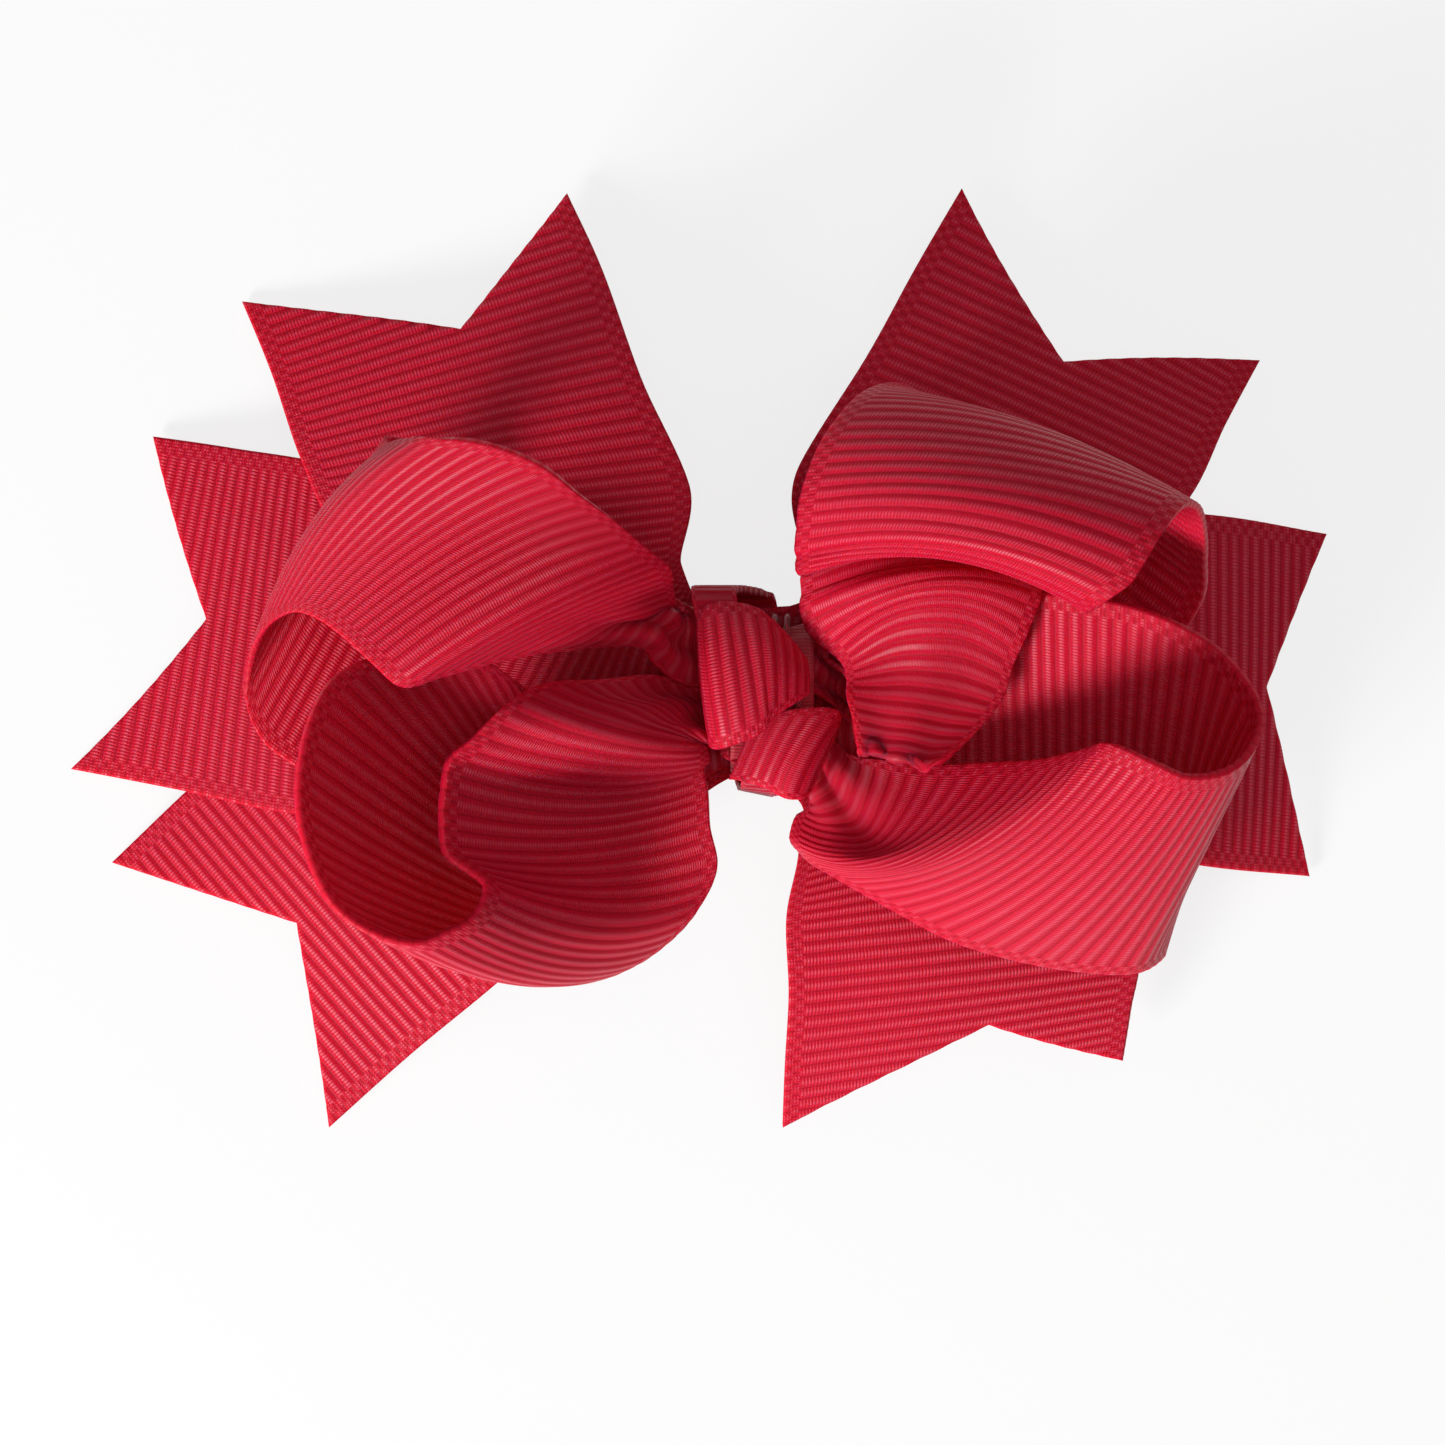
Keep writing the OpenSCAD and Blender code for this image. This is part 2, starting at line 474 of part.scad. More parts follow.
module clip_spring() {
    color(spring_steel)
        tube(spring_path, wire_d, [0, 1, 0]);
}

module strip_upper_left_to_lower_right() { color(ribbon_red) ribbon(strip_a, strip_steps, ribbon_w, 2); }
module strip_left_to_right() { color(ribbon_red) ribbon(strip_b, strip_steps, ribbon_w, 1); }
module strip_lower_left_to_upper_right() { color(ribbon_red) ribbon(strip_c, strip_steps, ribbon_w, 0); }
module loop_upper_left() { color(ribbon_red) ribbon(upper_left, loop_steps, ribbon_w); }
module loop_lower_left() { color(ribbon_red) ribbon(lower_left, loop_steps, ribbon_w); }
module loop_upper_right() { color(ribbon_red) ribbon(upper_right, loop_steps, ribbon_w); }
module loop_lower_right() { color(ribbon_red) ribbon(lower_right, loop_steps, ribbon_w); }

strip_upper_left_to_lower_right();
strip_left_to_right();
strip_lower_left_to_upper_right();
loop_upper_left();
loop_lower_left();
loop_upper_right();
loop_lower_right();
gathered_waist();
binding_thread();
centre_knot();
glue_pad();
clip_lining();
clip_upper_arm();
clip_lower_arm();
clip_pin();
clip_spring();
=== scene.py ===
import math
import bmesh
import bpy
import numpy as np
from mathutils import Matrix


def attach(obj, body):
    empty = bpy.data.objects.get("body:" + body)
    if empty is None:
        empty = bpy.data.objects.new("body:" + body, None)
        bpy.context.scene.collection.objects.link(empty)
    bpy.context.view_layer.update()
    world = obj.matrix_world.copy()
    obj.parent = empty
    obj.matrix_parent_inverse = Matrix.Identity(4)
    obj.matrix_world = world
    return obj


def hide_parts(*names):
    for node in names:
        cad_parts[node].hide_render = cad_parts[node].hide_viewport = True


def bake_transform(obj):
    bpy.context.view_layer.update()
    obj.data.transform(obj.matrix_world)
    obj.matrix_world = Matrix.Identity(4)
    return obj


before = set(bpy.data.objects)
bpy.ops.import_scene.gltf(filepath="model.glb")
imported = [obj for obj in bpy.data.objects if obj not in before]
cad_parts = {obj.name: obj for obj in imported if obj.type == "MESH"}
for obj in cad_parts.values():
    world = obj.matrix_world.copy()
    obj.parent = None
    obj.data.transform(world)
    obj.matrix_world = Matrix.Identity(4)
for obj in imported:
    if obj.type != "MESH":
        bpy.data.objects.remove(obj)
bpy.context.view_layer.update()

# The photograph is taken from straight above, about 200 mm from the table, with the bow lying on its clip.
# The lens sees about 29 degrees, and its middle is a little left of and below the knot.
scene = bpy.context.scene
scene.view_settings.view_transform = "Standard"
camera_data = bpy.data.cameras.new("camera")
camera = bpy.data.objects.new("camera", camera_data)
scene.collection.objects.link(camera)
scene.camera = camera
photo_px = 1445
focal_px = 2764
sensor_mm = 36
camera_data.sensor_width = sensor_mm
camera_data.lens = sensor_mm * focal_px / photo_px
camera_data.clip_start = 0.01
camera.location = (0.00156, -0.0047, 0.2025)


# The clip is stamped from bright nickel-plated sheet steel: an upper arm that the bow is glued to, a toothed
# lower arm with a thumb end, and a rivet pin. Handling leaves fine scratches along the arms.
class Shade:
    """A socket of a material, with the maths that a pattern is written in."""

    def __init__(self, tree, socket=None):
        self.tree, self.socket = tree, socket

    def node(self, kind, settings={}, sockets={}, output=0):
        """Adds a node of this kind, with its settings first and then its sockets' values or links."""
        made = self.tree.nodes.new("ShaderNode" + kind)
        for name, value in settings.items():
            setattr(made, name, value)
        for name, value in sockets.items():
            if isinstance(value, Shade):
                self.tree.links.new(value.socket, made.inputs[name])
            else:
                made.inputs[name].default_value = value
        return Shade(self.tree, made.outputs[output])

    def maths(self, operation, first, second=0.0):
        return self.node("Math", {"operation": operation}, {0: first, 1: second})

    def __add__(self, other):
        return self.maths("ADD", self, other)

    def __sub__(self, other):
        return self.maths("SUBTRACT", self, other)

    def __rsub__(self, other):
        return self.maths("SUBTRACT", other, self)

    def __mul__(self, other):
        return self.maths("MULTIPLY", self, other)

    def __truediv__(self, other):
        return self.maths("DIVIDE", self, other)

    __radd__ = __add__
    __rmul__ = __mul__

    def wave(self):
        """A rounded ridge at every half, with its foot at every whole number."""
        return self.maths("ABSOLUTE", self.maths("SINE", self * math.pi))

    def over(self, low, high):
        """0 below low, 1 above high, smooth between."""
        limits = {"From Min": low, "From Max": high}
        return self.node("MapRange", {"interpolation_type": "SMOOTHSTEP"}, {"Value": self, **limits})

    def mix(self, first, second):
        """A colour from first to second as this value goes from 0 to 1."""
        first, second = (end if isinstance(end, Shade) else (*end, 1) for end in (first, second))
        colour_a, colour_b, colour_out = 6, 7, 2
        ends = {"Factor": self, colour_a: first, colour_b: second}
        return self.node("Mix", {"data_type": "RGBA"}, ends, colour_out)


def new_material(name, constants):
    """A material with one surface shader, the maker of its nodes, and a way to link into the shader."""
    material = bpy.data.materials.new(name)
    material.use_nodes = True
    tree = material.node_tree
    surface = tree.nodes["Principled BSDF"]
    for socket, value in constants.items():
        surface.inputs[socket].default_value = value

    def feed(socket, shade):
        tree.links.new(shade.socket, surface.inputs[socket])

    return material, Shade(tree), feed


def wear_material(node_name, material):
    """Puts a material on a node that keeps its own solid."""
    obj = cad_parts[node_name]
    obj.data.materials.clear()
    obj.data.materials.append(material)


def nickel(name, colour, along):
    """Nickel plate, cloudy in patches, with fine scratches drawn out as along says."""
    material, make, feed = new_material(name, {"Metallic": 1.0})
    place = make.node("TexCoord", output="Object")
    stretched = make.node("Mapping", {}, {"Vector": place, "Scale": along})
    scratch = make.node("TexNoise", {}, {"Vector": stretched, "Scale": 1.0, "Detail": 3.0})
    cloud = make.node("TexNoise", {}, {"Vector": place, "Scale": 260.0, "Detail": 2.0})
    tarnish = 0.72
    dull = tuple(part * tarnish for part in colour)
    feed("Base Color", cloud.over(0.35, 0.7).mix(dull, colour))
    feed("Roughness", 0.2 + 0.22 * scratch)
    feed("Normal", make.node("Bump", {}, {"Height": scratch, "Strength": 0.12, "Distance": 0.00004}))
    return material


bright_nickel, pin_grey = (0.72, 0.71, 0.68), (0.6, 0.6, 0.58)
along_arms, along_pin = (250.0, 9000.0, 9000.0), (4000.0, 300.0, 4000.0)
plate = nickel("clip_nickel", bright_nickel, along_arms)
for part_name in ("clip_upper_arm", "clip_lower_arm"):
    wear_material(part_name, plate)
wear_material("clip_pin", nickel("pin_nickel", pin_grey, along_pin))

# The spring is drawn steel wire wound round the pin. One leg bears on the upper arm and the other on the
# lower, so the coil twists between them as the clip is pinched.
mm = 0.001
knot_x, knot_y = 4.9, -2.9
pivot = np.array((10.4, knot_y, 5.2))
wire_d, coil_r, coil_pitch, coil_turns = 0.5, 1.4, 0.95, 3.5
leg_l, leg_rise, leg_drop, leg_run = 7.0, 0.6 / 7, 2.7 / 13, 2.0
coil_y = pivot[1] - coil_turns * coil_pitch / 2
coil_points = 85
turns = np.linspace(0, coil_turns, coil_points)
angle = np.radians(90) + 2 * math.pi * turns
coil = np.stack([
    pivot[0] + coil_r * np.cos(angle), coil_y + turns * coil_pitch, pivot[2] + coil_r * np.sin(angle)], 1)
upper_leg = [coil[0] + part * leg_l * np.array((1, 0, leg_rise)) for part in (1, 0.66, 0.33)]
bend = coil[-1] + np.array((leg_run, 0, 0))
lower_leg = [bend + part * leg_l * np.array((1, 0, -leg_drop)) for part in (0, 0.33, 0.66, 1)]


def object_from(name, bm):
    """Turns a finished bmesh into a smooth-shaded piece."""
    mesh = bpy.data.meshes.new(name)
    bm.to_mesh(mesh)
    bm.free()
    mesh.polygons.foreach_set("use_smooth", [True] * len(mesh.polygons))
    piece = bpy.data.objects.new(name, mesh)
    scene.collection.objects.link(piece)
    return piece


def drawn_wire(name, path, diameter, sides=10):
    """A round wire or thread along a path in millimetres, made by carrying a ring along it."""
    bm = bmesh.new()
    path = np.asarray(path, float) * mm
    way = np.gradient(path, axis=0)
    way /= np.linalg.norm(way, axis=1)[:, None]
    any_way = (0.31, 0.87, 0.38)
    side = np.cross(way[0], any_way)
    radius = diameter / 2 * mm
    bmesh.ops.create_circle(bm, cap_ends=True, segments=sides, radius=radius)
    face = bm.faces[:][0]
    turn = np.arange(sides) * 2 * math.pi / sides
    for k in range(len(path)):
        side -= way[k] * np.dot(side, way[k])
        side /= np.linalg.norm(side)
        up = np.cross(way[k], side)
        if k:
            face = bmesh.ops.extrude_discrete_faces(bm, faces=[face])["faces"][0]
        for corner, a in zip(face.verts, turn):
            corner.co = path[k] + (side * math.cos(a) + up * math.sin(a)) * radius
    bmesh.ops.recalc_face_normals(bm, faces=bm.faces[:])
    return object_from(name, bm)


spring = drawn_wire("spring_wire", [*upper_leg, *coil, *lower_leg], wire_d)
wire_grey, every_way = (0.45, 0.45, 0.46), (3000.0, 3000.0, 3000.0)
spring.data.materials.append(nickel("spring_steel", wire_grey, every_way))
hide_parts("clip_spring")
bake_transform(spring)

# The lining is a narrow length of the same ribbon, glued along the top of the upper arm and turned in round
# its nose, so that the clip does not slip or mark what it holds.
narrow_w = 10
rib_pitch = 0.93
rib_t, lining_t, groove_share = 0.52, 0.4, 0.72
ribbon_red = (0.60, 0.006, 0.034)
# The groove colour is painted shade that darkens the hollows between the ribs.
groove_painted_shade_red = (0.42, 0.003, 0.018)
# The ridge colour is a painted highlight, pinker and brighter, for the rib tops.
ridge_painted_highlight_pink = (0.80, 0.060, 0.130)
# Heights of the loops and the knot are counted over a clip as low as low_clip_h, and this one lifts them.
clip_h, low_clip_h = 9, 6.5
lift = clip_h - low_clip_h


def rib_at(stations, place):
    """Smooth curve through the stations; each is one rib's x, y, z, heading, tilt, gather and bow."""
    stations = np.asarray(stations, float)
    last = len(stations) - 1
    first = np.clip(np.floor(place).astype(int), 0, last - 1)
    f = (place - first)[:, None]
    ends = np.vstack([2 * stations[0] - stations[1], stations, 2 * stations[-1] - stations[-2]])
    a, b, c, d = (ends[first + k] for k in range(4))
    return 0.5 * (2 * b + (c - a) * f + (2 * a - 5 * b + 4 * c - d) * f**2 + (3 * b - a - 3 * c + d) * f**3)


def ribbon_point(stations, place, share, width, height):
    """Points in millimetres; share runs from 0 on the ribbon's first edge to 1 on its second."""
    rib = rib_at(stations, place)
    heading, tilt = np.radians(rib[:, 3]), np.radians(rib[:, 4])
    way = np.stack([np.cos(heading) * np.cos(tilt), np.sin(heading) * np.cos(tilt), np.sin(tilt)], 1)
    point = rib[:, :3] + way * (width * rib[:, 5] * share)[:, None]
    if rib.shape[1] > 6:
        point += rib[:, 6:] * (4 * share * (1 - share))[:, None]
    point[:, 2] += height(point)
    return point, rib[:, 5]


def border_of(width):
    """Width of the woven border along each edge of a ribbon, in millimetres."""
    return 1.15 if width > 15 else 0.8


def woven_height(along, across, width):
    """Thickness of grosgrain from 0 to 1: round ribs, and a border of two staggered rows at each edge."""
    rib_power, block_power, block_low, block_rise, fade = 1.4, 0.7, 0.3, 0.6, 0.2
    rib = np.abs(np.sin(math.pi * along / rib_pitch)) ** rib_power
    border = border_of(width)
    edge = np.minimum(across, 1 - across) * width
    row = np.where(edge < border / 2, 0.0, 0.5)
    block = block_low + block_rise * np.abs(np.sin(math.pi * (along / rib_pitch + row))) ** block_power
    inside = np.clip((edge - border) / fade, 0, 1)
    return rib * inside + block * (1 - inside)


def cut_notches(bm, length, width, notch):
    """Cuts a V of a given depth and apex into each end of a flat ribbon."""
    for end, (depth, apex) in zip((0.0, length), notch):
        inward = 1 if end == 0 else -1
        tip = np.array((end + inward * depth, apex * width))
        for corner in (np.array((end, 0.0)), np.array((end, width))):
            cut = tip - corner
            bmesh.ops.bisect_plane(
                bm, geom=bm.verts[:] + bm.edges[:] + bm.faces[:], dist=1e-5,
                plane_co=(*corner, 0), plane_no=(cut[1], -cut[0], 0))
        waste = []
        for face in bm.faces:
            middle = face.calc_center_median()
            side = middle.y / tip[1] if middle.y < tip[1] else (width - middle.y) / (width - tip[1])
            if inward * (middle.x - end) < depth * side:
                waste.append(face)
        bmesh.ops.delete(bm, geom=waste, context="FACES")


def ribbon_normal(stations, spot, across, width, height):
    """Unit normals of a laid ribbon, from points a little to each side."""
    last, tiny = len(stations) - 1, 0.01
    to_each_side = (tiny, -tiny)
    ahead, behind = (
        ribbon_point(stations, np.clip(spot + step, 0, last), across, width, height)[0]
        for step in to_each_side)
    right, left = (
        ribbon_point(stations, spot, across + step, width, height)[0] for step in to_each_side)
    normal = np.cross(ahead - behind, right - left)
    return normal / (np.linalg.norm(normal, axis=1)[:, None] + 1e-12)


def lay_ribbon(name, stations, width, height=lambda point: lift, notch=None, pleat=0.0, columns=40, fine=6):
    """A ribbon woven flat, notched if its ends are, and laid along its stations, with its middle's length.

    It has as many columns across as given, crowded towards its borders, and fine steps to a rib.
    """
    count, samples, crowding, folds = len(stations) - 1, 600, 0.1, 2
    place = np.linspace(0, count, samples)
    sides = [
        ribbon_point(stations, place, np.full(samples, share), width, height)[0]
        for share in (0.0, 0.5, 1.0)]
    steps = np.mean([np.linalg.norm(np.diff(side, axis=0), axis=1) for side in sides], axis=0)
    length = np.concatenate([[0], np.cumsum(steps)])
    ribs = round(length[-1] / rib_pitch)
    bm = bmesh.new()
    bmesh.ops.create_grid(bm, x_segments=ribs * fine, y_segments=columns, size=0.5)
    for vert in bm.verts:
        across = vert.co.y + 0.5
        crowded = across - crowding * math.sin(2 * math.pi * across)
        vert.co = ((vert.co.x + 0.5) * length[-1], crowded * width, 0)
    if notch:
        cut_notches(bm, length[-1], width, notch)
    flat = np.array([vert.co[:2] for vert in bm.verts])
    along, across = flat[:, 0], flat[:, 1] / width
    spot = np.interp(along, length, place)
    point, gather = ribbon_point(stations, spot, across, width, height)
    if pleat:
        drawn_in = np.clip(1.2 - 2 * gather, 0, 1)
        fold = pleat * drawn_in * np.cos(2 * folds * math.pi * across)
        point += ribbon_normal(stations, spot, across, width, height) * fold[:, None]
    weave = woven_height(along, across, width)
    deform = bm.verts.layers.deform.verify()
    threads = bm.loops.layers.uv.new("threads")
    for vert, where, thick in zip(bm.verts, point, weave):
        vert.co = where * mm
        vert[deform][0] = thick
    bm.verts.index_update()
    for face in bm.faces:
        for loop in face.loops:
            s, v = flat[loop.vert.index]
            loop[threads].uv = (s / rib_pitch, v)
    piece = object_from(name, bm)
    piece.vertex_groups.new(name="weave")
    wall = piece.modifiers.new("wall", "SOLIDIFY")
    wall.thickness = rib_t * mm
    wall.offset = 0
    wall.vertex_group = "weave"
    wall.thickness_vertex_group = groove_share
    return piece, np.linalg.norm(np.diff(sides[1], axis=0), axis=1).sum()


def grosgrain(name, width):
    """Dyed polyester grosgrain: each rib's ridge has a satin coat and a painted highlight, the groove
    between has painted shade, and there are beads of warp.
    """
    bead_pitch, bead_lean, dash_pitch = 0.24, 0.04, 0.31
    material, make, feed = new_material(name, {
        "Specular IOR Level": 0.12, "Coat Roughness": 0.48, "Subsurface Weight": 0.6,
        "Subsurface Scale": 0.0014, "Subsurface Radius": (1.0, 0.05, 0.1)})
    threads = make.node("UVMap", {"uv_map": "threads"})
    along, across = (make.node("SeparateXYZ", {}, {"Vector": threads}, axis) for axis in "XY")
    rib = along.wave()
    bead = ((across + bead_lean * along) / bead_pitch).wave()
    border = border_of(width)
    edge = make.maths("MINIMUM", across, width - across)
    inside = edge.over(border - 0.1, border + 0.15)
    row = make.maths("FLOOR", edge / (border / 2)) * 0.5
    block = (along + row).wave()
    dash = (along / dash_pitch).wave() * (across / bead_pitch).wave()
    ridge = inside * rib + (1 - inside) * block
    grain = inside * bead + (1 - inside) * dash
    object_place = make.node("TexCoord", output="Object")
    cloud = make.node("TexNoise", {}, {"Vector": object_place, "Scale": 320.0, "Detail": 2.0})
    fibre = make.node("TexNoise", {}, {"Vector": object_place, "Scale": 7000.0, "Detail": 2.0})
    # Painted shade: the colour darkens from the rib and border-block tops into the hollows between them, and
    # a little between the beads.
    shade = ridge.over(0.05, 0.45) * (0.72 + 0.28 * grain)
    dyed_with_painted_groove_shade = shade.mix(groove_painted_shade_red, ribbon_red)
    # Painted highlight: the beaded ridge tops are lightened towards pink, more in some cloudy patches than
    # others.
    base_with_painted_highlight = (ridge.over(0.8, 1.0) * grain * (0.25 + 0.5 * cloud)).mix(dyed_with_painted_groove_shade, ridge_painted_highlight_pink)
    feed("Base Color", base_with_painted_highlight)
    feed("Roughness", 0.52 - 0.16 * ridge + 0.12 * fibre)
    feed("Coat Weight", 0.6 * ridge.over(0.7, 1.0) * grain)
    height = grain * ridge + 0.35 * fibre
    feed("Normal", make.node("Bump", {}, {"Height": height, "Strength": 0.9, "Distance": 0.00009}))
    return material


narrow_grosgrain = grosgrain("red_narrow_grosgrain", narrow_w)
lining_y, lining_share = -6.1, 0.64
lining_route = [(25.2, 8.37), (12, 8.36), (0, 8.36), (-10, 8.36), (-15, 8.36), (-16.02, 8.2), (-16.18, 7.85),
                (-16.02, 7.5), (-15, 7.36), (-10, 7.36), (-1.8, 7.36)]
lining = lay_ribbon(
    "clip_lining_ribbon", [(x, lining_y, z, 90, 0, lining_share) for x, z in lining_route], narrow_w,
    height=lambda point: 0.0, columns=16)[0]
lining.modifiers["wall"].thickness = lining_t * mm
lining.data.materials.append(narrow_grosgrain)
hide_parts("clip_lining")
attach(lining, "bow")

# A pad of hot glue joins the lining to the knot above it. It is pressed flat while soft, so its rim is
# uneven and its edge rounded, and it sets cloudy.
glue_bm = bmesh.new()
bmesh.ops.create_grid(glue_bm, x_segments=40, y_segments=20, size=0.5)
pad_l, pad_w, pad_low, pad_high, base_t = 16.0, 7.0, 8.56, 9.0, 0.12
rim_waves, rim_depth, rim_turn = 5, 0.07, 0.6
for vert in glue_bm.verts:
    x, y = vert.co.x * 2, vert.co.y * 2
    rim = 1 - rim_depth * math.sin(rim_waves * math.atan2(y, x) + rim_turn)
    reach = math.sqrt(max(0.0, 1 - y * y / 2)), math.sqrt(max(0.0, 1 - x * x / 2))
    vert.co = (knot_x + x * reach[0] * rim * pad_l / 2, knot_y + y * reach[1] * rim * pad_w / 2, 0)
    edge = max(abs(x), abs(y))
    vert.co.z = pad_low + (pad_high - pad_low) * math.sqrt(max(0.0, 1 - edge**6))
    vert.co *= mm
glue = object_from("glue_pad_pressed", glue_bm)
base = glue.modifiers.new("base", "SOLIDIFY")
base.thickness = base_t * mm
base.offset = -1
glue_material, make, feed = new_material(
    "set_glue", {"Transmission Weight": 0.25, "IOR": 1.48, "Coat Weight": 0.2})
place = make.node("TexCoord", output="Object")
haze = make.node("TexNoise", {}, {"Vector": place, "Scale": 600.0, "Detail": 3.0})
glue_dark, glue_pale = (0.78, 0.72, 0.60), (0.93, 0.9, 0.84)
feed("Base Color", haze.over(0.3, 0.75).mix(glue_dark, glue_pale))
feed("Roughness", 0.25 + 0.3 * haze)
feed("Normal", make.node("Bump", {}, {"Height": haze, "Strength": 0.3, "Distance": 0.0002}))
glue.data.materials.append(glue_material)
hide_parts("glue_pad")
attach(glue, "bow")

# Three strips of the wide ribbon lie crossed under the loops. Each end is cut to a V and sealed with a
# flame, and all three fall over the clip to the table in one drape.
ribbon_w = 25
layer_step = 0.65
drape_foot, drape_rise, drape_reach = 2.2, 9.65, 30
top_left, top_right = -2, 12
wide_grosgrain = grosgrain("red_grosgrain", ribbon_w)


def strip_height(layer):
    """The drape of one strip, over the straight top of the clip and down on all sides."""
    def height(point):
        away = np.hypot(point[:, 0] - np.clip(point[:, 0], top_left, top_right), point[:, 1] - knot_y)
        return lift - drape_foot + drape_rise * np.exp(-(away / drape_reach) ** 3) + layer * layer_step
    return height


# Each strip has its layer, the depth and apex of the notches at its two ends, and its stations.
strips = {
    "strip_lower_left_to_upper_right": (0, ((8.4, 0.5), (8.3, 0.5)), [
        (-27.1, -34.2, -0.4, 129.5, 0, 1), (-20.8, -28.5, 0, 131, 0, 1), (-14.6, -23.3, 0, 131, 0, 1),
        (-7.7, -17.2, 0, 130, 0, 0.86), (-1.8, -11.4, 0, 117, 0, 0.62), (3.4, -8, 0, 92, 0, 0.45),
        (13.3, -5.9, 0, 118, 0, 0.46), (21.8, 0.4, 0, 150, 0, 0.7), (28.5, 5.3, 0, 160, 0, 0.92),
        (34.6, 11, 0, 156, 0, 1), (37.8, 16.8, 0, 154, 0, 1), (40.6, 21.6, -0.4, 150, 0, 1)]),
    "strip_left_to_right": (1, ((7.75, 0.5), (5.1, 0.53)), [
        (-46, -8.1, -0.9, 76, 0, 1), (-37.5, -9.6, -0.2, 81, 0, 1), (-28.6, -11.2, 0, 85, 0, 1),
        (-17.6, -11.2, 0, 87, 0, 0.88), (-5.6, -9.5, 0, 88, 0, 0.56), (3.6, -8.4, 0, 89, 0, 0.45),
        (14, -10, 0, 90, 0, 0.66), (24.6, -12.8, 0, 90, 0, 0.92), (35.8, -14.9, -0.4, 89, 0, 1),
        (44.3, -15.9, -2.4, 87, 0, 1)]),
    "strip_upper_left_to_lower_right": (2, ((8.2, 0.56), (6, 0.58)), [
        (-33.5, 26, -1.7, 18, 0, 1), (-31, 20.5, -0.5, 17, 0, 1), (-28.5, 14, 0, 12, 0, 1),
        (-25.5, 8.5, 0, 7, 0, 1), (-18.5, 1, 0, 17, 0, 0.72), (-6.8, -5.8, 0, 49, 0, 0.45),
        (2.6, -8.2, 0, 85, 0, 0.46), (6.9, -10.2, 0, 57, 0, 0.57), (6.8, -14, 0, 27, 0, 0.76),
        (6, -18.4, 0, 9, 0, 0.94), (6.2, -23.8, 0, 7, 0, 1), (6, -29, -0.6, 9, 0, 1),
        (5.9, -33.8, -1.9, 11, 0, 1)]),
}
for strip_name, (layer, notch, stations) in strips.items():
    strip, strip_length = lay_ribbon(
        strip_name.replace("strip", "notched_strip"), stations, ribbon_w, strip_height(layer), notch)
    strip.data.materials.append(wide_grosgrain)
    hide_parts(strip_name)
    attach(strip, "bow")

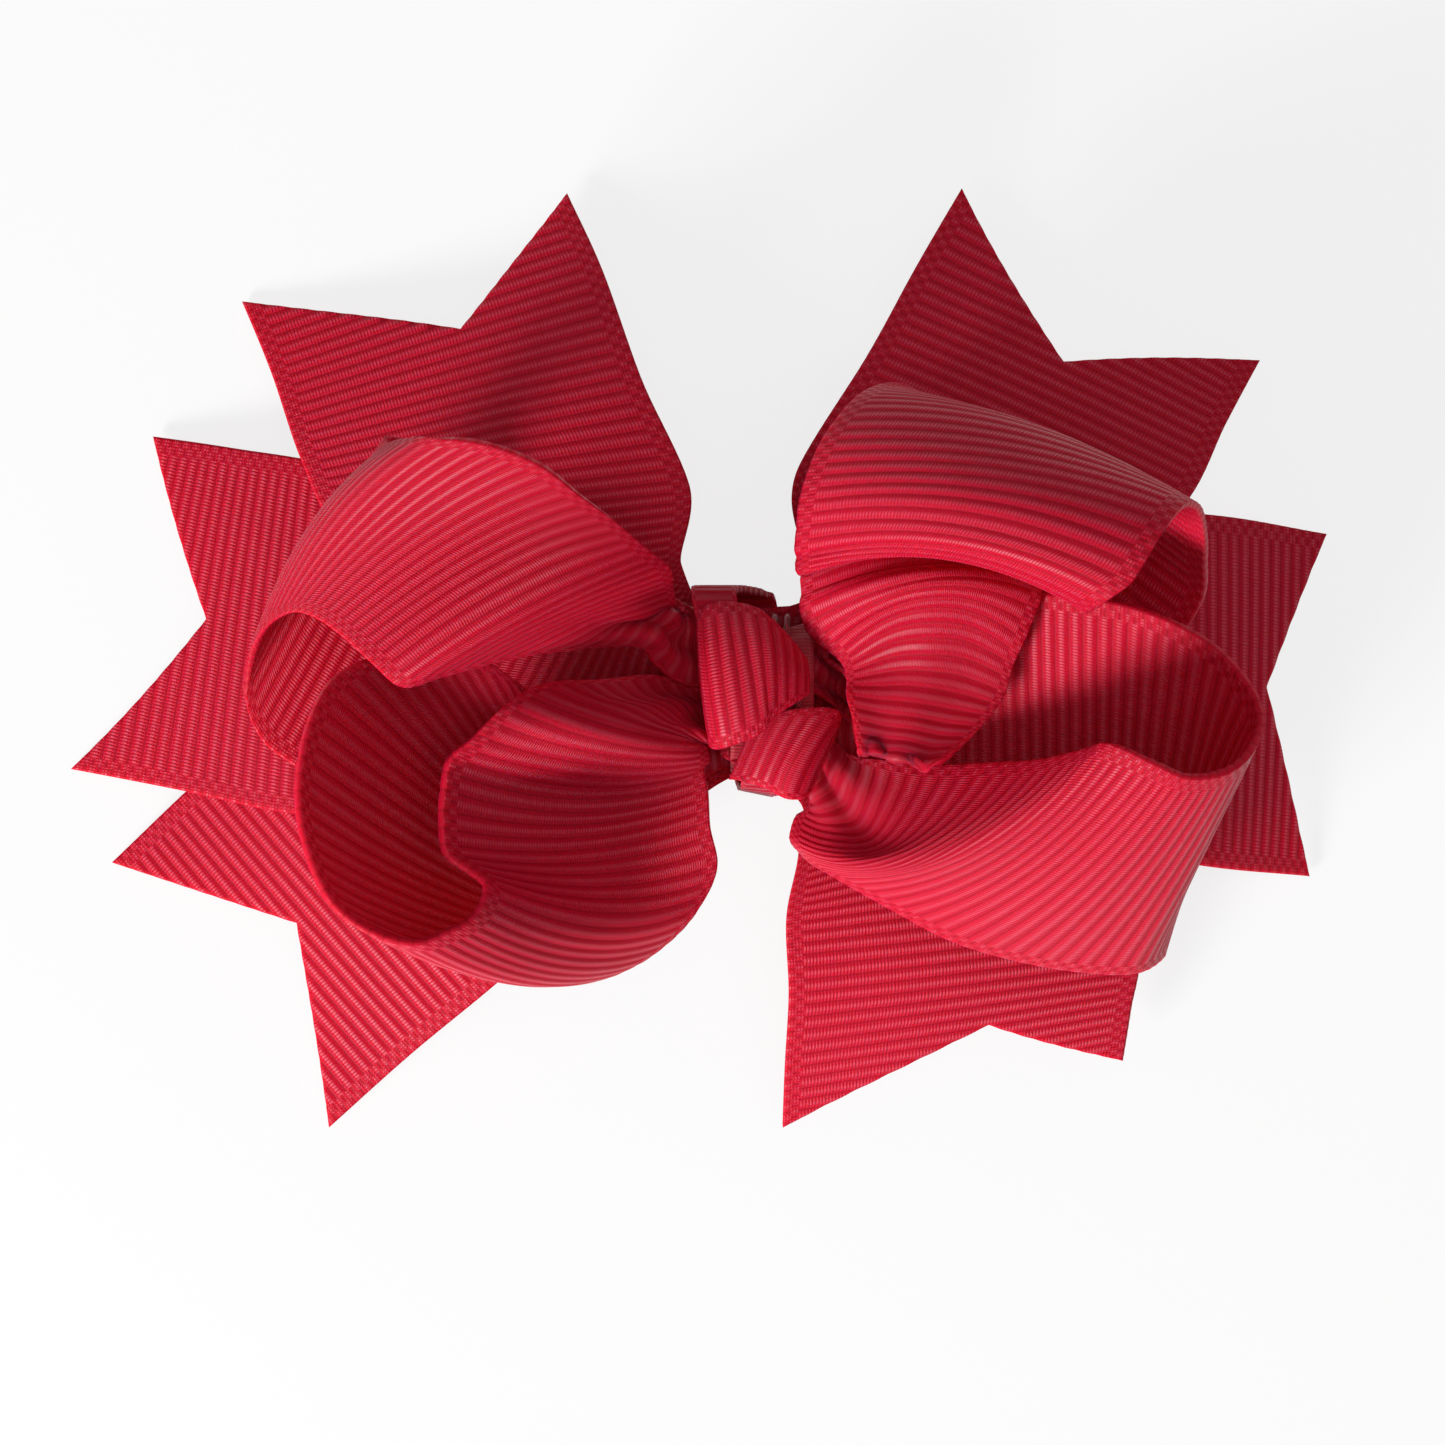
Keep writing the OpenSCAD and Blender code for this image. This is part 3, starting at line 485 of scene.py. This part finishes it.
# The four loops are one wide ribbon folded to and fro. Each length leaves the waist at the front, turns over
# at its crest and comes back to the waist behind. Its ribs run from the mouth's edge to the far edge.
pleat_depth, seen_share = 0.35, 0.7
loops = {
    "loop_upper_left": [
        (2.4, -2, 14.1, 92, -8, 0.16, 0, 0, 0), (-0.6, -2.2, 14.8, 93, -8, 0.2, 0, 0, 0),
        (-2.6, -1, 16, 69, -27, 0.18, 0, 0, 0.3), (-4, 0.3, 17.2, 44, -41, 0.19, 0, 0.3, 0.6),
        (-9.1, 0, 18.6, 23, -26, 0.36, 0, 0.3, 1.6), (-12.9, -0.6, 20.6, 24, -21, 0.52, 0, 0.3, 2.3),
        (-16.5, -1.6, 22.4, 26, -15, 0.67, 0, 0.3, 2.8), (-18.9, -2.3, 23.4, 29, -9, 0.73, 0, 0.5, 2.8),
        (-20.7, -1, 23, 28, 0, 0.73, 0.4, 1.2, 2.2), (-22.9, 0.8, 21, 29, 14, 0.74, 0.3, 1.2, 1.4),
        (-24.9, 2.1, 19, 32, 25, 0.78, 0, 1.1, 0.7), (-26.7, 2.6, 17, 37, 33, 0.8, -0.3, 1, 0.4),
        (-28.2, 2.2, 15.3, 43, 36, 0.79, -0.6, 1.2, 0.3), (-29.4, 1.3, 13.9, 48, 31, 0.75, -0.7, 1.4, 0.2),
        (-30.3, 0, 12.6, 53, 20, 0.72, -0.7, 1.3, 0.2), (-30.9, -1.5, 11.5, 57, 9, 0.75, -0.4, 0.9, 0),
        (-31.1, -3.2, 10.7, 61, 4, 0.82, 0, 0.4, 0), (-30.5, -5.2, 10.2, 62, 2, 0.9, 0, 0, 0),
        (-29, -6.9, 9.9, 62, -1, 0.94, 0, 0, 0), (-25.5, -8.6, 9.8, 61, -4, 0.92, 0, 0, 0),
        (-19, -9, 9.4, 61, 0, 0.82, 0, 0, 0), (-11, -7.2, 9.6, 64, 0, 0.58, 0, 0, 0),
        (-4.5, -4.6, 10.2, 74, 4, 0.36, 0, 0, 0), (2.4, -2.5, 11.1, 90, 5, 0.17, 0, 0, 0)],
    "loop_lower_left": [
        (2.4, -3, 13.2, -88, -5, 0.18, 0, 0, 0), (-2.5, -1.8, 14, -46, -9, 0.23, 0, 0, 0.2),
        (-6.5, -2.2, 17.2, -26, -19, 0.35, 0, 0, 1.5), (-10, -2.4, 20.4, -19, -30, 0.5, 0.2, -0.2, 2.2),
        (-12.4, -3.6, 22.3, -13, -32, 0.62, 0.3, -0.8, 2),
        (-14.5, -5.7, 22.8, -6, -30, 0.7, 0.4, -1.1, -0.2),
        (-16, -7.1, 22.8, -3, -28, 0.74, 0.2, -1.6, -2.4), (-16.4, -9, 22.8, 0, -27, 0.76, 0, -1.7, -2.9),
        (-16.5, -10.9, 22.9, 3, -27, 0.77, 0, -1.5, -2.8), (-16.2, -13, 23.1, 4, -28, 0.77, 0, -1.3, -2.6),
        (-14.7, -14.1, 23.5, 0, -32, 0.75, 0, -1.5, -2.2),
        (-13.6, -14.9, 24.2, -5, -38, 0.72, 0.2, -1.7, -1.8),
        (-13.6, -15.9, 24.9, -8, -42, 0.71, 0.2, -1.9, -1.8),
        (-14.4, -17.1, 25.5, -11, -47, 0.73, 0.2, -1.7, -1.6),
        (-15.7, -17.8, 26, -16, -51, 0.75, 0.2, -1.6, -1),
        (-17.8, -18.5, 26.4, -19, -55, 0.79, 0.2, -1.3, 0),
        (-20.6, -17.8, 26.4, -21, -56, 0.83, 0.2, -1.1, 0.6),
        (-23.2, -15.8, 26.2, -25, -55, 0.85, -0.2, -0.8, 0.4),
        (-24.8, -12.2, 25.8, -31, -52, 0.84, -0.4, -0.5, 0),
        (-25.3, -8.6, 25.2, -37, -50, 0.84, -0.3, -0.3, 0), (-24.7, -4.5, 24, -42, -46, 0.83, 0, 0, 0),
        (-23, -1.5, 22, -49, -41, 0.78, 0, 0, 0), (-18.8, 0, 19.8, -58, -37, 0.72, 0, 0, 0),
        (-14, -0.7, 18.4, -63, -34, 0.66, 0, 0, 0), (-10.5, -3, 15.4, -62, -25, 0.48, 0, 0, 0),
        (-4.5, -4, 12, -76, -4, 0.26, 0, 0, 0), (2.4, -3.4, 11, -90, 5, 0.16, 0, 0, 0)],
    "loop_upper_right": [
        (7.4, -2.6, 13.2, 90, -4, 0.16, 0, 0, 0), (9.8, -4.1, 12.6, 104, 0, 0.16, 0, 0, 0),
        (12.7, -5.9, 16.2, 120, -14, 0.2, 0, 0, 0), (15.3, -7.6, 19, 166, -18, 0.21, 0, 0, 0),
        (17.4, -6.2, 18.4, 170, -9, 0.29, 0, 0, 0.2), (19, -4.5, 17.8, 172, -7, 0.37, -0.2, 0.2, 0.6),
        (20.1, -2.8, 17.6, 176, -10, 0.41, -0.1, 1.1, 1.2),
        (20.6, -0.9, 18, 181, -14, 0.44, -0.2, 1.9, 2.2), (21.2, 0.6, 18.9, 184, -18, 0.5, -0.2, 2.6, 3.4),
        (21.8, 2.3, 19.6, 187, -18, 0.58, -0.2, 2.4, 4), (22.2, 3.4, 19.9, 187, -17, 0.63, 0, 1.9, 3.8),
        (22.3, 4.2, 19.8, 185, -14, 0.64, 0, 1.5, 3.2), (22.9, 4.7, 18.9, 183, -10, 0.65, 0.2, 1.3, 2.4),
        (23.6, 4.8, 18.9, 180, -9, 0.68, 0, 2, 1.6), (24.3, 4, 21.2, 176, -16, 0.71, 0, 2.2, 2.2),
        (24.5, 2.5, 25, 171, -25, 0.8, 0, 2, 2.9), (24.9, 2.6, 28.4, 169, -32, 0.88, 0, 1.9, 3.2),
        (25.6, 3.1, 29.6, 169, -32, 0.92, 0, 1.8, 3.2), (26.7, 3.9, 30, 168, -30, 0.95, 0, 1.6, 3),
        (27.7, 5.4, 30, 169, -28, 0.97, 0, 1.5, 2.8), (29, 7.4, 29.2, 170, -25, 0.98, 0, 1.2, 2.4),
        (30.5, 8.9, 27.2, 168, -21, 0.98, 0, 1.2, 1.9), (31.9, 8.9, 24, 162, -17, 0.97, 0, 1.8, 1.5),
        (32.9, 7.8, 20.4, 156, -13, 0.97, 0, 1.9, 1), (33.6, 6, 16.8, 149, -13, 0.98, 0, 1.2, 0.4),
        (33.8, 3.2, 13.4, 142, -13, 1, 0, 0, 0), (31, -0.5, 10.6, 138, -9, 1, 0, 0, 0),
        (24, -2.8, 9.6, 132, 0, 0.9, 0, 0, 0), (14.5, -3.2, 10, 112, 3, 0.5, 0, 0, 0),
        (7.4, -2.4, 11.1, 90, 5, 0.16, 0, 0, 0)],
    "loop_lower_right": [
        (7.4, -3.4, 13, -90, -4, 0.17, 0, 0, 0), (9.8, -6.6, 13.4, -125, -10, 0.17, 0.2, -0.6, 0.4),
        (12.4, -7.2, 14.4, -147, -17, 0.29, 1.2, -2.6, 1.6),
        (16, -7.5, 16.8, -154, -22, 0.47, 0.8, -3.2, 3), (19.8, -7.4, 20.4, -156, -30, 0.66, 0, -3, 3.8),
        (22.3, -7.1, 24, -154, -36, 0.8, 0, -2.6, 3.6), (24.5, -6.4, 27.4, -151, -40, 0.92, 0, -2.3, 2.9),
        (25.4, -6, 29.3, -145, -43, 0.96, 0.4, -2, 2.1), (26.6, -6.4, 30, -140, -45, 0.97, 0.5, -1.5, 1.5),
        (28.4, -7.3, 30.5, -135, -47, 0.98, 0.5, -0.9, 1),
        (30.2, -8, 30.5, -126, -50, 0.97, 0.4, -0.6, 0.7),
        (32.5, -7.7, 29.8, -115, -50, 0.95, 0.3, -0.3, 0.5),
        (34.3, -6.5, 28.3, -107, -47, 0.93, 0, -0.2, 0.4), (35.5, -4.5, 26, -103, -45, 0.96, -0.4, 0, 0),
        (35.1, -2.3, 24, -99, -42, 0.98, -0.4, 0, 0), (33, 0.3, 22.5, -93, -39, 1, 0, 0, 0),
        (29.5, 2.3, 21.5, -89, -36, 1, 0, 0, 0), (25.4, 3.4, 20.5, -86, -30, 0.95, 0, 0, 0),
        (20.4, 3.6, 18.6, -86, -26, 0.83, 0, 0, 0), (14, 1.5, 14.6, -90, -18, 0.55, 0, 0, 0),
        (7.4, -3.5, 11, -90, 5, 0.16, 0, 0, 0)],
}
for loop_name, stations in loops.items():
    loop, loop_length = lay_ribbon(
        loop_name.replace("loop", "puffed_loop"), stations, ribbon_w, pleat=pleat_depth)
    loop.data.materials.append(wide_grosgrain)
    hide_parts(loop_name)
    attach(loop, "bow")

# The waist is where the folds of the loop ribbon are drawn together into tight pleats. It is pulled in most
# at its middle, and lies under the knot.
waist_bm = bmesh.new()
waist_mid = np.array((knot_x, knot_y, 14.9))
waist_l, waist_y, waist_z, pleats, pull_in, pleat_in = 5.6, 5.2, 2.1, 11, 0.12, 0.05
bmesh.ops.create_cone(waist_bm, cap_ends=True, segments=16 * pleats, radius1=1, radius2=1, depth=1)
bmesh.ops.subdivide_edges(
    waist_bm, edges=[e for e in waist_bm.edges if abs(e.verts[0].co.z - e.verts[1].co.z) > 0.5], cuts=14)
for vert in waist_bm.verts:
    a = math.atan2(vert.co.y, vert.co.x)
    pulled = 1 - pull_in * (1 - (2 * vert.co.z) ** 2)
    fold = pulled * (1 - pleat_in * (1 + math.cos(pleats * a)) / 2)
    spot = waist_mid + (waist_l * vert.co.z, waist_y * fold * math.sin(a), waist_z * fold * math.cos(a))
    vert.co = spot * mm
bmesh.ops.recalc_face_normals(waist_bm, faces=waist_bm.faces[:])
waist = object_from("gathered_waist_pleats", waist_bm)
pleat_material, make, feed = new_material("red_pleats", {"Sheen Weight": 0.25})
place = make.node("TexCoord", output="Object")
side_y = make.node("SeparateXYZ", {}, {"Vector": place}, "Y")
thread_rows = (side_y * 4500).wave()
tint = make.node("TexNoise", {}, {"Vector": place, "Scale": 900.0, "Detail": 3.0})
# Painted shade: the colour darkens in the hollows between the thread rows.
feed("Base Color", (thread_rows * tint).mix(groove_painted_shade_red, ribbon_red))
feed("Roughness", 0.45 + 0.25 * tint)
feed("Normal", make.node("Bump", {}, {"Height": thread_rows, "Strength": 0.5, "Distance": 0.00008}))
waist.data.materials.append(pleat_material)
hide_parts("gathered_waist")
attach(waist, "bow")

# The thread that holds the pleats is twisted from two strands. It is wound round the waist and pulled tight
# before the knot is tied over it.
thread_turns, thread_pitch, thread_d, thread_gap, bite = 4, 0.85, 0.4, 0.02, 0.99
turn_points = 48
turns = np.linspace(0, thread_turns, thread_turns * turn_points + 1)
out = thread_d / 2 + thread_gap
thread_route = np.stack([
    waist_mid[0] + (turns - thread_turns / 2) * thread_pitch,
    waist_mid[1] + (waist_y * bite + out) * np.sin(2 * math.pi * turns),
    waist_mid[2] + (waist_z * bite + out) * np.cos(2 * math.pi * turns)], 1)
thread = drawn_wire("binding_thread_winding", thread_route, thread_d, sides=8)
thread_material, make, feed = new_material("red_thread", {"Sheen Weight": 0.3})
place = make.node("TexCoord", output="Object")
x, y, z = (make.node("SeparateXYZ", {}, {"Vector": place}, axis) for axis in "XYZ")
twist = ((x + y + z) * 3200).wave()
thread_painted_shade, thread_red = (0.16, 0.003, 0.01), (0.45, 0.012, 0.035)
# Painted shade: the colour darkens in the grooves between the twisted strands.
feed("Base Color", twist.mix(thread_painted_shade, thread_red))
feed("Roughness", 0.6 - 0.15 * twist)
feed("Normal", make.node("Bump", {}, {"Height": twist, "Strength": 0.6, "Distance": 0.00008}))
thread.data.materials.append(thread_material)
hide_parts("binding_thread")
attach(thread, "bow")

# The knot is a narrow ribbon tied over the waist: a flat turn across the front, a second turn tucked below
# it, and a band that goes round the strips behind.
knot_turns = {
    "knot_front_turn": [
        (1.7, -5.6, 15, 92, -3, 0.85, 0, 0, 0.2), (0.9, -6.2, 15.3, 95, -7, 0.95, -0.2, 0, 1),
        (1.4, -6.4, 16.6, 97, -10, 0.95, -0.2, 0, 1.4), (2.6, -6, 17.3, 98, -12, 0.95, 0, 0, 1.6),
        (4.1, -5.3, 17.4, 100, -13, 0.88, 0.1, 0.2, 1.5), (4.7, -4.4, 17.3, 95, -11, 0.72, 0.2, 0.2, 1.2),
        (6, -3.5, 16.8, 95, -8, 0.48, 0.2, 0.2, 0.7), (7.2, -2.7, 16, 95, -2, 0.22, 0.1, 0, 0.3)],
    "knot_lower_turn": [
        (2.1, -8.5, 13.9, 67, 16, 0.42, 0, 0, 0.2), (3.1, -8.6, 14.7, 64, 13, 0.52, -0.1, 0.1, 0.4),
        (4.6, -9, 15.3, 61, 6, 0.6, -0.4, -0.2, 0.7), (5.7, -9.6, 15.8, 60, 0, 0.66, -0.6, -0.2, 1),
        (6.7, -9.7, 15.3, 64, -1, 0.6, -0.2, -0.1, 0.8), (7.3, -9.3, 14.5, 66, 0, 0.46, 0, 0, 0.4)],
    "knot_band": [
        (-0.2, 2.2, 15.2, 0, 0, 0.3, 0, 0, 0), (-0.5, 3.6, 14.6, 0, 0, 0.3, 0, 0, 0),
        (-0.5, 4.3, 13, 0, 0, 0.31, 0, 0, 0), (0.2, 4.4, 10.4, 0, 0, 0.33, 0, 0, 0),
        (1, 4.2, 8, 0, 0, 0.36, 0, 0, 0), (1.2, 3.3, 6.85, 0, 0, 0.42, 0, 0, 0),
        (1.4, -3, 6.8, 0, 0, 0.42, 0, 0, 0), (2.2, -7.7, 6.75, -8, 0, 0.3, 0, 0, 0),
        (2.6, -9, 7.6, -12, 0, 0.25, 0, 0, 0), (2.7, -9.1, 10, -10, 0, 0.25, 0, 0, 0),
        (2.8, -9, 12.6, -6, 0, 0.28, 0, 0, 0), (2.8, -8.4, 14.9, 0, 0, 0.34, 0, 0, 0)],
}
knot = {}
for turn_name, stations in knot_turns.items():
    turn, turn_length = lay_ribbon(turn_name, stations, narrow_w, columns=24, fine=8)
    turn.data.materials.append(narrow_grosgrain)
    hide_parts("centre_knot")
    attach(turn, "bow")
    knot[turn_name] = turn, round(turn_length) / 1000
for turn_name, seen_w, tucked in (
        ("knot_front_turn", 0.0075, [knot["knot_lower_turn"][0]]), ("knot_band", 0.005, [])):
    turn, turn_length = knot[turn_name]

# The bow lies on a plain white table. A soft lamp stands low at the left and below, and a wider, weaker one
# hangs above. What the camera sees of the table is mostly plain white, and the rest keeps the shadow.
floor_bm = bmesh.new()
bmesh.ops.create_grid(floor_bm, x_segments=2, y_segments=2, size=3.0)
floor = object_from("table_top", floor_bm)
floor_material, make, feed = new_material(
    "white_table", {"Base Color": (0.9, 0.9, 0.9, 1), "Roughness": 0.9})
camera_ray, glossy_ray, clear_ray = (
    make.node("LightPath", output=f"Is {kind} Ray") for kind in ("Camera", "Glossy", "Transmission"))
seen = make.maths("MAXIMUM", make.maths("MAXIMUM", camera_ray, glossy_ray), clear_ray)
white = make.node("Emission", {}, {"Color": (1, 1, 1, 1), "Strength": 1.0})
white_share = 0.8
tree = floor_material.node_tree
matt = Shade(tree, tree.nodes["Principled BSDF"].outputs[0])
table_white = make.node("MixShader", {}, {0: seen * white_share, 1: matt, 2: white})
tree.links.new(table_white.socket, tree.nodes["Material Output"].inputs["Surface"])
floor.data.materials.append(floor_material)

world = bpy.data.worlds.new("room")
scene.world = world
world.use_nodes = True
sky = world.node_tree.nodes["Background"]
sky.inputs["Color"].default_value = (1, 1, 1, 1)
sky.inputs["Strength"].default_value = 0.23
aim = np.array((0.0, 0.0, 0.01))
for lamp_name, spot, size, watts in (
        ("low_left_lamp", (-0.38, -0.40, 0.28), 0.2, 4.8), ("high_lamp", (0.1, 0.0, 0.7), 0.5, 0.8)):
    lamp = bpy.data.lights.new(lamp_name, "AREA")
    lamp.size = size
    lamp.energy = watts
    stand = bpy.data.objects.new(lamp_name, lamp)
    scene.collection.objects.link(stand)
    stand.location = spot
    away = aim - np.array(spot)
    stand.rotation_euler = (
        math.acos(-away[2] / np.linalg.norm(away)), 0, math.atan2(-away[0], away[1]))
